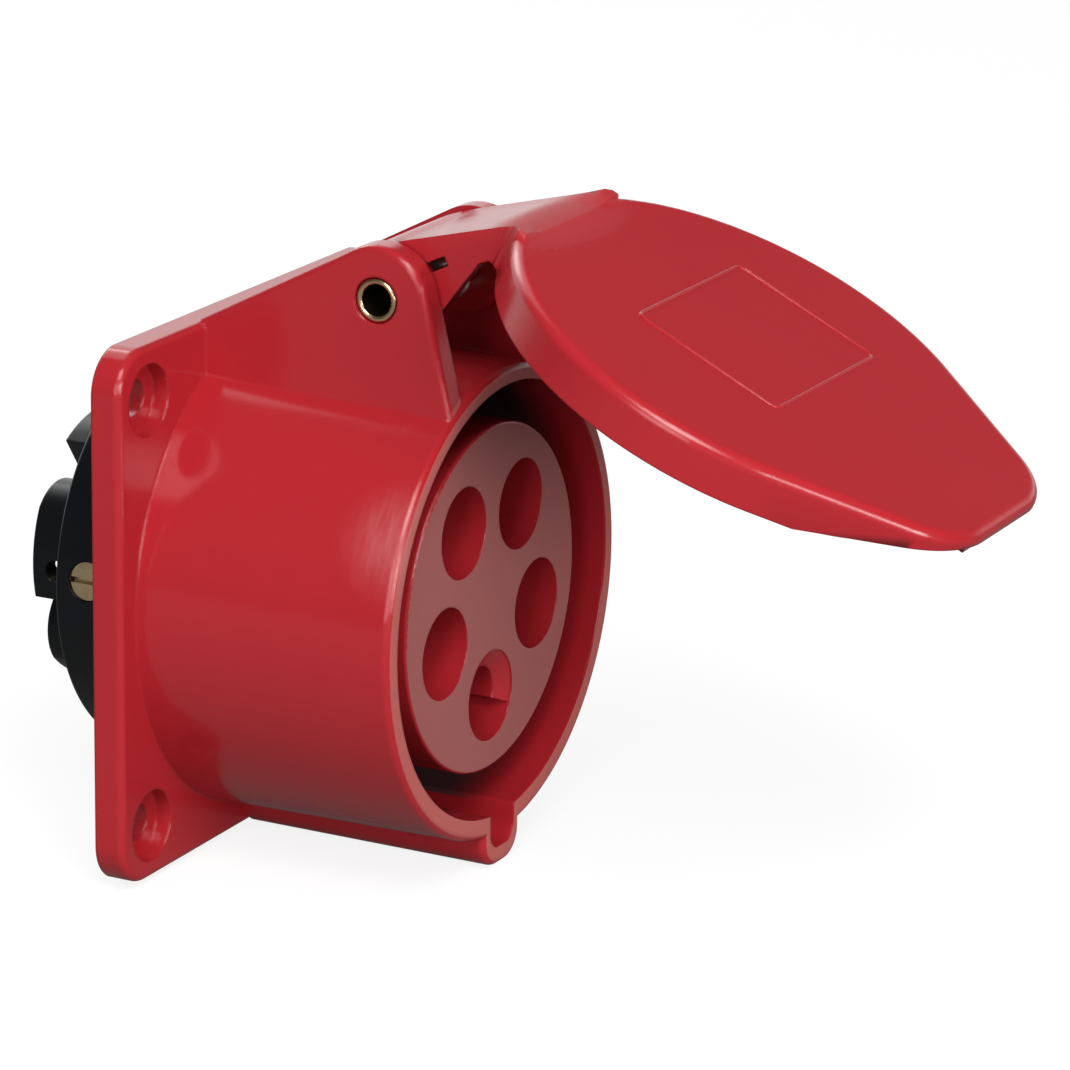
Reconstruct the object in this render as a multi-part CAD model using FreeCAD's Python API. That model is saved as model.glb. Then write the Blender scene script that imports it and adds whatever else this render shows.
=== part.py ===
import FreeCAD, Part
import math
import os

V = FreeCAD.Vector

# Five pole panel socket with a hinged lid.
# The origin is on the socket's axis at the back face of the flange, which lies on the panel.
# The socket faces -Y, +X is to the right as seen from the front, and +Z is up.
# Angles round the axis start at +X and turn towards +Z.

# Clearances
fit_gap = 0.3            # between pieces that slide into one another
seat_gap = 0.1           # round pieces that sit in a pocket
shaft_gap = 0.05         # radial play of a pin or a thread in its hole
overcut = 1.0            # how far a cutting solid runs past the face that it opens

# Panel flange
flange_w = 75.0
flange_t = 4.4
flange_corner_r = 6.0
flange_edge_r = 1.0
fixing_pitch = 60.0
fixing_hole_r = 2.6
fixing_recess_r = 5.0
fixing_recess_depth = 2.4

# Collar round the plug
collar_len = 38.2
collar_bore_r = 30.5
collar_wall = 2.6
collar_draft = 0.9       # how much the outside radius grows from the rim to the flange
collar_drop = 0.4        # the outside is lower than the bore, so the wall is thicker below
collar_edge_r = 1.0
lip_t = 5.0              # ring inside the collar that the contact face bears on
cavity_depth = 7.0       # pocket in the back of the housing
cavity_r = 31.4

# Keyway and the rib that it runs in
key_half_w = 3.5
key_depth = 4.9
key_corner_r = 2.5
rib_half_w = 5.2
rib_wall = 2.6
rib_corner_r = 4.0

# Hinge ears
pin_y = -30.7
pin_z = 43.9
ear_gap_half = 11.7
ear_t = 3.8
ear_r = 7.45
ear_edge_r = 0.9
ear_foot_y = -2.2        # where the ear's top line runs into the flange
ear_foot_z = 37.2
ear_toe_z = 29.5         # where the ear's front line runs into the collar's rim
ear_toe_back = 0.6

# Contact face
face_recess = 2.1        # how far the face lies inside the rim
face_r = 24.4
face_edge_r = 0.4
base_t = 3.0
contact_pitch_r = 14.0
well_r = 6.4
well_depth = 25.0
well_floor_t = 2.0

# Contacts
contact_step = 72.0
earth_angle = 270.0
sleeve_wall = 1.7
phase_bore_r = 2.5
earth_bore_r = 3.5
sleeve_len = 18.0
slot_w = 1.0
slot_len = 14.0
contact_collar_t = 2.0
contact_collar_lip = 1.05
shank_r = 3.3
plate_t = 1.6
terminal_lag = 23.0      # the terminal sits this many degrees clockwise of its sleeve

# Spring rings round the sleeves
ring_back = 2.3          # from the sleeve's mouth to the ring's front
ring_w = 2.0
ring_seat = 0.2
ring_t = 0.9
ring_gap_w = 2.0

# Terminals
terminal_w = 8.0
terminal_in_r = 9.6
terminal_out_r = 21.5
terminal_end_y = 11.0
wire_pitch_r = 13.4
wire_r = 2.1
tail_wall = 0.8
tail_end_y = 17.6
screw_y = 7.0
screw_r = 2.0
screw_head_r = 2.65
screw_head_t = 2.0
screw_sunk = 0.3
slit_w = 0.8
slit_depth = 0.9
clamp_w = 2.4
clamp_len = 6.0
clamp_t = 0.6
clamp_lift = 1.0         # from the wire's axis to the clamp plate

# Rear carrier
carrier_flange_t = 2.5
drum_r = 28.2
drum_end_y = 12.0
drum_edge_r = 0.6
plate_room_r = 25.6
chamber_r = 3.2
tower_end_y = 21.5
tower_r = 18.8
earth_tower_r = 20.2
tower_back = -45.8       # a tower's angles, measured from its terminal
tower_shoulder = -34.0
tower_round = -20.0
tower_ahead = 19.0
shoulder_drop = 2.0
notch_start_r = 12.5
notch_end_r = 13.6
notch_lean = 1.3
peep_r = 1.6
peep_y = 17.8
peep_turn = 6.0

# Carrier screws
carrier_screw_r = 1.5
carrier_screw_pitch_r = 28.2
carrier_screw_head_r = 2.7
carrier_screw_head_t = 1.8
carrier_screw_len = 9.0
scallop_r = 3.1

# Lid, drawn closed and then swung open
lid_open = 63.7
lid_r = 34.24
lid_wall = 2.3
lid_height = 6.5
lid_edge_r = 1.6
lid_rim_gap = 0.4        # from the collar's rim to the closed lid's skirt
tab_corner_r = 12.78
tab_corner_x = 7.71
tab_corner_drop = 28.55  # from the lid's centre down to the centres of the tab's corners
tab_taper_drop = 23.2    # from the lid's centre down to where the skirt starts to taper
tab_tip_t = 1.8
tab_plate_t = 2.2
nub_x = 8.6
nub_w = 4.4
nub_t = 1.6
nub_deep = 2.1
nub_back = 0.83

# Lid arm
arm_half_w = 11.3
arm_r = 6.85
arm_wall = 2.0
arm_lean = 40.36         # angle between the arm's top and the lid's face
arm_step = 0.6
arm_step_end = 14.0
arm_heel_u = 9.2
arm_heel_off = 11.1
arm_flare_r = 4.0
catch_u = 3.8
catch_off = 7.1
catch_len = 3.2
catch_w = 1.3
catch_turn = 64.6

# Lid seal
seal_w = 2.7
seal_lip_w = 1.4

# Hinge rivet and lid spring
rivet_r = 2.5
rivet_bore_r = 2.15
rivet_head_r = 3.0
rivet_head_t = 0.8
rivet_dish_r = 3.2
wire_d = 1.0
coil_r = 3.8
coil_turns = 5
coil_pitch = 1.25
spring_foot_y = -14.0

# Levels along the axis
y_front = -flange_t
y_rim = y_front - collar_len
y_face = y_rim + face_recess
y_lip_back = -cavity_depth
y_lip_front = y_lip_back - lip_t
y_base_back = y_lip_back + base_t
y_well_floor = y_face + well_depth
y_collar = y_well_floor + well_floor_t
y_sleeve_root = y_collar
y_sleeve_mouth = y_sleeve_root - sleeve_len
y_plate_back = y_base_back + plate_t
y_flange_back = y_base_back + carrier_flange_t

# Sizes that follow from the ones above
collar_rim_r = collar_bore_r + collar_wall
collar_root_r = collar_rim_r + collar_draft
base_r = cavity_r - fit_gap
key_z = -collar_bore_r - key_depth
rib_z = key_z - rib_wall
ear_x = ear_gap_half + ear_t
lid_z = -collar_drop
lid_y_back = y_rim - lid_rim_gap
lid_y_out = lid_y_back - lid_height
lid_y_in = lid_y_out + lid_wall
pin = V(0, pin_y, pin_z)
contact_names = ("l1", "l2", "l3", "n", "e")


def polar(r, degrees, y=0.0):
    """Point at a radius and an angle round the socket's axis."""
    a = math.radians(degrees)
    return V(r * math.cos(a), y, r * math.sin(a))


def rod(r, y0, y1, centre=V(0, 0, 0)):
    """Cylinder along Y between two levels."""
    return Part.makeCylinder(r, y1 - y0, V(centre.x, y0, centre.z), V(0, 1, 0))


def cross_rod(r, x0, x1, y, z):
    """Cylinder along X between two places."""
    return Part.makeCylinder(r, x1 - x0, V(x0, y, z), V(1, 0, 0))


def spoke(r, r0, r1, degrees, y):
    """Cylinder that points outward from the axis at an angle."""
    return Part.makeCylinder(r, r1 - r0, polar(r0, degrees, y), polar(1, degrees))


def bar(r0, r1, half_w, y0, y1, degrees):
    """Rectangular bar that points outward from the axis at an angle."""
    block = Part.makeBox(r1 - r0, y1 - y0, 2 * half_w, V(r0, y0, -half_w))
    return block.rotate(V(0, 0, 0), V(0, -1, 0), degrees)


def facing(y):
    """Maps a flat drawing (p, q) to x and z on the plane at y."""
    return lambda p, q: V(p, y, q)


def sideways(x):
    """Maps a flat drawing (p, q) to y and z on the plane at x."""
    return lambda p, q: V(x, p, q)


def belt(circles, place):
    """Outline drawn tight round circles (p, q, r), listed anticlockwise; r may be zero."""
    count = len(circles)
    normals = []
    for i, (p0, q0, r0) in enumerate(circles):
        p1, q1, r1 = circles[(i + 1) % count]
        run = math.hypot(p1 - p0, q1 - q0)
        heading = math.atan2(q1 - q0, p1 - p0)
        normals.append(heading - math.pi / 2 + math.asin((r0 - r1) / run))
    edges = []
    for i, (p0, q0, r0) in enumerate(circles):
        p1, q1, r1 = circles[(i + 1) % count]
        after = normals[i]
        turn = (after - normals[i - 1]) % (2 * math.pi)
        ends = []
        for t in (after - turn, after - turn / 2, after):
            ends.append(place(p0 + r0 * math.cos(t), q0 + r0 * math.sin(t)))
        if r0 > 0:
            edges.append(Part.Arc(*ends).toShape())
        goal = place(p1 + r1 * math.cos(after), q1 + r1 * math.sin(after))
        edges.append(Part.LineSegment(ends[2], goal).toShape())
    return Part.Wire(edges)


def line(a, b):
    """Straight edge between two points."""
    return Part.LineSegment(a, b).toShape()


def arc(a, middle, b):
    """Round edge through three points."""
    return Part.Arc(a, middle, b).toShape()


def solid(wire, along):
    """Solid swept from a closed outline along a vector."""
    return Part.Face(wire).extrude(along)


def soften(shape, r, chosen):
    """Rounds the edges that the test function picks."""
    picked = [e for e in shape.Edges if chosen(e)]
    return shape.makeFillet(r, picked)


def on_level(axis, value):
    """Test for edges that lie on one plane across an axis."""
    def test(edge):
        box = edge.BoundBox
        low = (box.XMin, box.YMin, box.ZMin)[axis]
        high = (box.XMax, box.YMax, box.ZMax)[axis]
        return abs(low - value) < 1e-4 and abs(high - value) < 1e-4
    return test


def contact_angle(index):
    """Contacts l1, l2, l3 and n follow the earth contact clockwise as seen from the front."""
    return (earth_angle - contact_step * (index + 1)) % 360


def sleeve_bore_r(index):
    """The earth contact takes the thicker pin."""
    return earth_bore_r if contact_names[index] == "e" else phase_bore_r


# Housing

def flange():
    """Square plate with round corners and a softened front edge."""
    half = flange_w / 2 - flange_corner_r
    corners = [(-half, -half), (half, -half), (half, half), (-half, half)]
    outline = belt([(x, z, flange_corner_r) for x, z in corners], facing(y_front))
    plate = solid(outline, V(0, flange_t, 0))
    return soften(plate, flange_edge_r, on_level(1, y_front))


def collar():
    """Tapered barrel whose rim lies a little lower than its root."""
    root = Part.makeCircle(collar_root_r, V(0, y_front, 0), V(0, -1, 0))
    rim = Part.makeCircle(collar_rim_r, V(0, y_rim, -collar_drop), V(0, -1, 0))
    barrel = Part.makeLoft([Part.Wire(root), Part.Wire(rim)], True, True)
    return soften(barrel, collar_edge_r, on_level(1, y_rim))


def key_outline(half_w, bottom, corner_r, y):
    """Round bottomed channel outline that opens upward into the bore."""
    inner = half_w - corner_r
    top = -collar_bore_r + rib_wall
    low = bottom + corner_r
    return belt([(-inner, low, corner_r), (inner, low, corner_r),
                 (half_w, top, 0), (-half_w, top, 0)], facing(y))


def rib():
    """Rib under the collar that the keyway runs in."""
    body = solid(key_outline(rib_half_w, rib_z, rib_corner_r, y_rim), V(0, collar_len, 0))
    front = on_level(1, y_rim)
    return soften(body, collar_edge_r, lambda e: front(e) and e.BoundBox.ZMin < -collar_bore_r)


def ear(side):
    """Hinge ear: a plate whose outline runs tight round the pin."""
    toe = y_rim + ear_toe_back
    root = collar_bore_r - ear_t
    outer = side * ear_x
    outline = belt([(toe, root, 0), (ear_foot_y, root, 0), (ear_foot_y, ear_foot_z, 0),
                    (pin_y, pin_z, ear_r), (toe, ear_toe_z, 0)], sideways(outer))
    plate = solid(outline, V(-side * ear_t, 0, 0))
    outside = on_level(0, outer)
    return soften(plate, ear_edge_r, lambda e: outside(e) and e.BoundBox.ZMax > ear_foot_z)


def rivet_holes(side):
    """Hole through an ear and the dish that the rivet's head lies in."""
    inner = side * (ear_gap_half - overcut)
    outer = side * (ear_x + overcut)
    hole = cross_rod(rivet_r + shaft_gap, min(inner, outer), max(inner, outer), pin_y, pin_z)
    floor = side * (ear_x - rivet_head_t)
    dish = cross_rod(rivet_dish_r, min(floor, outer), max(floor, outer), pin_y, pin_z)
    return [hole, dish]


def housing():
    """Flange, collar, keyway rib and hinge ears in one moulding."""
    body = flange().fuse([collar(), rib(), ear(1), ear(-1)])
    cuts = [
        rod(collar_bore_r, y_rim - overcut, y_lip_front),
        rod(face_r + fit_gap, y_lip_front - overcut, y_lip_back + overcut),
        rod(cavity_r, y_lip_back, overcut),
        solid(key_outline(key_half_w, key_z, key_corner_r, y_rim - overcut),
              V(0, y_lip_front - y_rim + overcut, 0)),
    ]
    half = fixing_pitch / 2
    for x in (-half, half):
        for z in (-half, half):
            spot = V(x, 0, z)
            cuts.append(rod(fixing_hole_r, y_front - overcut, overcut, spot))
            cuts.append(rod(fixing_recess_r, y_front - overcut, y_front + fixing_recess_depth, spot))
    for side in (-1, 1):
        cuts += rivet_holes(side)
    for degrees in (90, 270):
        spot = polar(carrier_screw_pitch_r, degrees)
        cuts.append(rod(carrier_screw_r + shaft_gap, y_lip_front + overcut, y_lip_back + overcut, spot))
    return body.cut(cuts).removeSplitter()


# Contact face

def contact_face():
    """Round insert with five wells, held behind the housing's lip by its base."""
    body = soften(rod(face_r, y_face, y_base_back), face_edge_r, on_level(1, y_face))
    body = body.fuse(rod(base_r, y_lip_back, y_base_back))
    cuts = []
    for index in range(len(contact_names)):
        spot = polar(contact_pitch_r, contact_angle(index))
        sleeve_r = sleeve_bore_r(index) + sleeve_wall
        pocket_r = sleeve_r + contact_collar_lip + seat_gap
        cuts.append(rod(well_r, y_face - overcut, y_well_floor, spot))
        cuts.append(rod(sleeve_r + fit_gap, y_face, y_base_back + overcut, spot))
        cuts.append(rod(pocket_r, y_collar, y_base_back + overcut, spot))
    for degrees in (90, 270):
        spot = polar(carrier_screw_pitch_r, degrees)
        cuts.append(rod(carrier_screw_r + fit_gap, y_lip_back - overcut, y_base_back + overcut, spot))
    return body.cut(cuts)


# Contacts

def contact(index):
    """Slotted sleeve, collar, side plate and clamp terminal in one piece of brass."""
    degrees = contact_angle(index)
    away = degrees - terminal_lag
    spot = polar(contact_pitch_r, degrees)
    bore_r = sleeve_bore_r(index)
    sleeve_r = bore_r + sleeve_wall
    body = rod(sleeve_r, y_sleeve_mouth, y_sleeve_root, spot)
    collar_end = y_collar + contact_collar_t
    body = body.fuse(rod(sleeve_r + contact_collar_lip, y_collar, collar_end, spot))
    body = body.fuse(rod(shank_r, collar_end, y_base_back, spot))
    body = body.fuse(side_plate(degrees, away))
    body = body.fuse(bar(terminal_in_r, terminal_out_r, terminal_w / 2, y_plate_back, terminal_end_y, away))
    wire_spot = polar(wire_pitch_r, away)
    body = body.fuse(rod(wire_r + tail_wall, terminal_end_y, tail_end_y, wire_spot))
    ring_front = y_sleeve_mouth + ring_back
    groove = rod(sleeve_r + overcut, ring_front, ring_front + ring_w, spot)
    groove = groove.cut(rod(sleeve_r - ring_seat, ring_front, ring_front + ring_w, spot))
    cuts = [rod(bore_r, y_sleeve_mouth - overcut, y_sleeve_root - overcut, spot), groove]
    reach = sleeve_r + overcut
    for turn in (45, 135):
        slot = Part.makeBox(2 * reach, slot_len, slot_w, V(-reach, y_sleeve_mouth, -slot_w / 2))
        slot.rotate(V(0, 0, 0), V(0, 1, 0), turn)
        slot.translate(spot)
        cuts.append(slot)
    cuts.append(rod(wire_r, screw_y - clamp_len / 2 - shaft_gap, tail_end_y + overcut, wire_spot))
    cuts.append(spoke(screw_r + shaft_gap, wire_pitch_r, terminal_out_r + overcut, away, screw_y))
    return body.cut(cuts)


def side_plate(degrees, away):
    """Flat plate behind the contact face, from the sleeve's shank to the terminal."""
    ends = [polar(contact_pitch_r, degrees), polar(wire_pitch_r, away)]
    r = terminal_w / 2
    outline = belt([(ends[1].x, ends[1].z, r), (ends[0].x, ends[0].z, r)], facing(y_base_back))
    return solid(outline, V(0, plate_t, 0))


def contact_ring(index):
    """Split spring ring in the groove near the sleeve's mouth."""
    spot = polar(contact_pitch_r, contact_angle(index))
    inner_r = sleeve_bore_r(index) + sleeve_wall - ring_seat + shaft_gap
    front = y_sleeve_mouth + ring_back + shaft_gap
    back = y_sleeve_mouth + ring_back + ring_w - shaft_gap
    ring = rod(inner_r + ring_t, front, back, spot)
    split = Part.makeBox(2 * inner_r, ring_w, ring_gap_w, V(spot.x, front, spot.z - ring_gap_w / 2))
    return ring.cut([rod(inner_r, front - overcut, back + overcut, spot), split])


# Terminal screws and clamp plates

def terminal_angle(index):
    """Angle of a contact's terminal."""
    return contact_angle(index) - terminal_lag


def terminal_screw(index):
    """Slotted cheese head screw that points at the wire from the drum's side."""
    away = terminal_angle(index)
    top = drum_r - screw_sunk
    tip = wire_pitch_r + clamp_lift + clamp_t
    screw = spoke(screw_r, tip, top - screw_head_t, away, screw_y)
    screw = screw.fuse(spoke(screw_head_r, top - screw_head_t, top, away, screw_y))
    reach = screw_head_r + overcut
    slit = bar(top - slit_depth, top + overcut, slit_w / 2, screw_y - reach, screw_y + reach, away)
    return screw.cut(slit)


def clamp_plate(index):
    """Small plate between the screw's tip and the wire."""
    inner = wire_pitch_r + clamp_lift
    low = screw_y - clamp_len / 2
    return bar(inner, inner + clamp_t, clamp_w / 2, low, low + clamp_len, terminal_angle(index))


# Rear carrier

def tower_outline(y):
    """Five towers round a hub, each with one round shoulder and one square side."""
    edges = []
    for index in range(len(contact_names)):
        middle = terminal_angle(index)
        outer_r = earth_tower_r if contact_names[index] == "e" else tower_r
        begin = polar(notch_start_r, middle + tower_back, y)
        bend = polar(outer_r - shoulder_drop, middle + tower_shoulder, y)
        top = polar(outer_r, middle + tower_round, y)
        end = polar(outer_r, middle + tower_ahead, y)
        crest = polar(outer_r, middle + (tower_ahead + tower_round) / 2, y)
        foot = polar(notch_end_r, middle + tower_ahead - notch_lean, y)
        edges += [(arc(begin, bend, top)), arc(top, crest, end), line(end, foot)]
        before = contact_angle(index - 1) - terminal_lag
        edges.append(line(foot, polar(notch_start_r, before + tower_back, y)))
    return Part.Wire(Part.__sortEdges__(edges))


def rear_carrier():
    """Black moulding with a flange, a drum and five wire towers."""
    body = rod(base_r, y_base_back, y_flange_back)
    drum = soften(rod(drum_r, y_base_back, drum_end_y), drum_edge_r, on_level(1, drum_end_y))
    towers = solid(tower_outline(drum_end_y - overcut), V(0, tower_end_y - drum_end_y + overcut, 0))
    body = body.fuse([drum, towers])
    cuts = [rod(plate_room_r, y_base_back - overcut, y_plate_back)]
    for index in range(len(contact_names)):
        cuts += terminal_room(terminal_angle(index))
    for degrees in (90, 270):
        spot = polar(carrier_screw_pitch_r, degrees)
        cuts.append(rod(carrier_screw_r + fit_gap, y_base_back - overcut, y_flange_back, spot))
        cuts.append(rod(scallop_r, y_flange_back, drum_end_y + overcut, spot))
    return body.cut(cuts)


def terminal_room(away):
    """Pocket for a terminal, its wire chamber, screw hole and peep hole."""
    spot = polar(wire_pitch_r, away)
    head_floor = drum_r - screw_sunk - screw_head_t
    half = terminal_w / 2 + seat_gap
    end = terminal_end_y + seat_gap
    return [
        bar(terminal_in_r - seat_gap, terminal_out_r + seat_gap, half, y_base_back, end, away),
        rod(chamber_r, terminal_end_y, tower_end_y + overcut, spot),
        spoke(screw_r + seat_gap, terminal_out_r, drum_r, away, screw_y),
        spoke(screw_head_r + seat_gap, head_floor, drum_r + overcut, away, screw_y),
        spoke(peep_r, wire_pitch_r, earth_tower_r + overcut, away + peep_turn, peep_y),
    ]


def carrier_screw(degrees):
    """Pan head screw that pulls the carrier and the contact face against the lip."""
    spot = polar(carrier_screw_pitch_r, degrees)
    head_end = y_flange_back + carrier_screw_head_t
    screw = rod(carrier_screw_r, head_end - carrier_screw_len, head_end, spot)
    head = soften(rod(carrier_screw_head_r, y_flange_back, head_end, spot), screw_sunk,
                  on_level(1, head_end))
    slit = Part.makeBox(2 * carrier_screw_head_r + 1, slit_depth + overcut, slit_w,
                        V(spot.x - carrier_screw_head_r - 0.5, head_end - slit_depth, spot.z - slit_w / 2))
    return screw.fuse(head).cut(slit)


# Lid

def lid_point(u, off, x=0.0):
    """Point of the closed lid: u runs from the pin down the lid, off stands out from it."""
    return V(x, pin_y - off, pin_z - u)


def lid_outline(inset, y):
    """Round lid with a finger tab hanging from it, drawn in by an inset."""
    low = lid_z - tab_corner_drop
    corner = tab_corner_r - inset
    return belt([(0, lid_z, lid_r - inset), (-tab_corner_x, low, corner), (tab_corner_x, low, corner)],
                facing(y))


def tab_wedge():
    """Space under the tab, so that its skirt tapers away towards the tip."""
    tip_z = lid_z - tab_corner_drop - tab_corner_r
    start_z = lid_z - tab_taper_drop
    tip_y = lid_y_out + tab_tip_t
    slope = (lid_y_back - tip_y) / (start_z - tip_z)
    low = V(-lid_r, tip_y - slope * overcut, tip_z - overcut)
    corners = [V(-lid_r, lid_y_back, start_z), low,
               V(-lid_r, lid_y_back + overcut, tip_z - overcut), V(-lid_r, lid_y_back + overcut, start_z)]
    outline = Part.makePolygon(corners + corners[:1])
    return solid(outline, V(2 * lid_r, 0, 0))


def cap():
    """Shallow lid with its tab, before the arm and the round hollow."""
    shell = solid(lid_outline(0, lid_y_out), V(0, lid_height, 0))
    shell = soften(shell, lid_edge_r, on_level(1, lid_y_out))
    disc = rod(lid_r, lid_y_out - overcut, lid_y_back + overcut, V(0, 0, lid_z))
    plate_back = lid_y_out + tab_plate_t
    under_tab = solid(lid_outline(lid_wall, plate_back), V(0, lid_height, 0))
    return shell.cut([tab_wedge().cut(disc), under_tab.cut(disc)])


def arm_side():
    """Side outline of the arm: round the pin, up to the face, and back along the skirt."""
    lean = math.radians(arm_lean)
    face = lid_point(0, 0).y - lid_y_out
    back = lid_point(0, 0).y - lid_y_back
    high = face + arm_step
    rise = arm_r / math.cos(lean)
    heel_far = math.hypot(arm_heel_u, arm_heel_off)
    heel_turn = math.atan2(arm_heel_off, arm_heel_u) - math.acos(arm_r / heel_far)
    top_turn = lean + math.pi / 2
    low_turn = (heel_turn + top_turn - 2 * math.pi) / 2
    rounds = []
    for turn in (heel_turn, low_turn, top_turn):
        rounds.append(lid_point(arm_r * math.cos(turn), arm_r * math.sin(turn)))
    crest = lid_point((high - rise) / math.tan(lean), high)
    corners = [rounds[2], crest, lid_point(arm_step_end, high),
               lid_point(arm_step_end + arm_step, face - lid_edge_r / 2),
               lid_point(arm_step_end + arm_step, back), lid_point(arm_heel_u + back - arm_heel_off, back),
               lid_point(arm_heel_u, arm_heel_off), rounds[0]]
    edges = [arc(*rounds)]
    for a, b in zip(corners, corners[1:]):
        edges.append(line(a, b))
    return Part.Wire(Part.__sortEdges__(edges))


def arm_plan(half_w, flare_r, y):
    """Plan outline of the arm, which flares out to meet the round lid."""
    centre_x = half_w + flare_r
    reach = lid_r + flare_r
    lift = math.sqrt(reach ** 2 - centre_x ** 2)
    bend_z = lid_z + lift
    meet_turn = math.atan2(lift, centre_x)
    meet_x = lid_r * math.cos(meet_turn)
    meet_z = lid_z + lid_r * math.sin(meet_turn)
    mid_turn = (math.pi + math.pi + meet_turn) / 2
    mid_x = centre_x + flare_r * math.cos(mid_turn)
    mid_z = bend_z + flare_r * math.sin(mid_turn)
    top = pin_z + arm_r + overcut
    low = pin_z - arm_step_end - arm_step - overcut
    right = [V(half_w, y, top), V(half_w, y, bend_z), V(mid_x, y, mid_z), V(meet_x, y, meet_z), V(meet_x, y, low)]
    left = [V(-p.x, p.y, p.z) for p in right]
    edges = [line(right[0], right[1]), arc(*right[1:4]), line(right[3], right[4]), line(right[4], left[4]),
             line(left[4], left[3]), arc(*reversed(left[1:4])), line(left[1], left[0]), line(left[0], right[0])]
    return Part.Wire(edges)


def arm_channel():
    """Hollow of the arm, open towards the collar, with a wall over the pin."""
    lean = math.radians(arm_lean)
    inner_r = arm_r - arm_wall
    top_turn = lean + math.pi / 2
    below = -arm_r - overcut
    far = arm_step_end + arm_step
    far_off = inner_r / math.cos(lean) + far * math.tan(lean)
    rounds = []
    for turn in (top_turn, (top_turn + math.pi) / 2, math.pi):
        rounds.append(lid_point(inner_r * math.cos(turn), inner_r * math.sin(turn), -arm_half_w + arm_wall))
    corners = [lid_point(u, off, -arm_half_w + arm_wall)
               for u, off in ((below, 0), (below, below), (far, below), (far, far_off))]
    corners = [rounds[2]] + corners + [rounds[0]]
    edges = [arc(*rounds)]
    for a, b in zip(corners, corners[1:]):
        edges.append(line(a, b))
    return solid(Part.Wire(edges), V(2 * (arm_half_w - arm_wall), 0, 0))


def catch_slot():
    """Slot in the left cheek that the spring's end hooks into."""
    block = Part.makeBox(arm_wall + 2 * overcut, catch_w, catch_len,
                         V(-arm_half_w - overcut, pin_y - catch_w / 2, pin_z - catch_len / 2))
    block.rotate(pin, V(1, 0, 0), catch_turn)
    return block.translate(lid_point(catch_u, catch_off) - pin)


def lid_closed():
    """Cap, arm and tab nub in one moulding, closed over the collar."""
    arm = solid(arm_side(), V(2 * lid_r, 0, 0)).translate(V(-lid_r, 0, 0))
    arm = arm.common(solid(arm_plan(arm_half_w, arm_flare_r, pin_y - lid_r), V(0, 2 * lid_r, 0)))
    disc = rod(lid_r, lid_y_out - overcut, lid_y_back + overcut, V(0, 0, lid_z))
    arm = arm.cut([arm_channel().cut(disc), catch_slot(),
                   cross_rod(rivet_r + shaft_gap, -ear_gap_half, ear_gap_half, pin_y, pin_z)])
    hollow = rod(lid_r - lid_wall, lid_y_in, lid_y_back + overcut, V(0, 0, lid_z))
    return cap().fuse([arm, tab_nub()]).cut(hollow).removeSplitter()


def tab_nub():
    """Small grip under the tab's tip."""
    tip_z = lid_z - tab_corner_drop - tab_corner_r
    return Part.makeBox(nub_w, nub_deep, nub_t,
                        V(-nub_x - nub_w / 2, lid_y_out + tab_tip_t / 2, tip_z + nub_back))


def swing(shape):
    """Turns a closed piece open about the hinge pin."""
    return shape.rotate(pin, V(-1, 0, 0), lid_open)


def lid_seal():
    """Rubber ring inside the lid whose rounded lip meets the collar's rim."""
    outer = lid_r - lid_wall - fit_gap
    inner = outer - seal_w
    lip_inner = outer - seal_lip_w
    lip_y = y_rim - fit_gap
    root_y = (lid_y_in + lip_y) / 2
    crown = lip_y - seal_lip_w / 2
    corners = [V(inner, lid_y_in, 0), V(outer, lid_y_in, 0), V(outer, crown, 0), V(lip_inner, crown, 0),
               V(lip_inner, root_y, 0), V(inner, root_y, 0)]
    lip = arc(corners[2], V((outer + lip_inner) / 2, lip_y, 0), corners[3])
    edges = [line(corners[0], corners[1]), line(corners[1], corners[2]), lip]
    for i in (3, 4):
        edges.append(line(corners[i], corners[i + 1]))
    edges.append(line(corners[5], corners[0]))
    profile = Part.Face(Part.Wire(edges))
    ring = profile.revolve(V(0, 0, 0), V(0, 1, 0), 360)
    return ring.translate(V(0, 0, lid_z))


# Hinge

def hinge_rivet():
    """Hollow brass rivet with rolled heads that lie flush in the ears."""
    tube = cross_rod(rivet_r, -ear_x, ear_x, pin_y, pin_z)
    for side in (-1, 1):
        floor = side * (ear_x - rivet_head_t)
        outer = side * ear_x
        tube = tube.fuse(cross_rod(rivet_head_r, min(floor, outer), max(floor, outer), pin_y, pin_z))
    return tube.cut(cross_rod(rivet_bore_r, -ear_x - overcut, ear_x + overcut, pin_y, pin_z))


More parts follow.
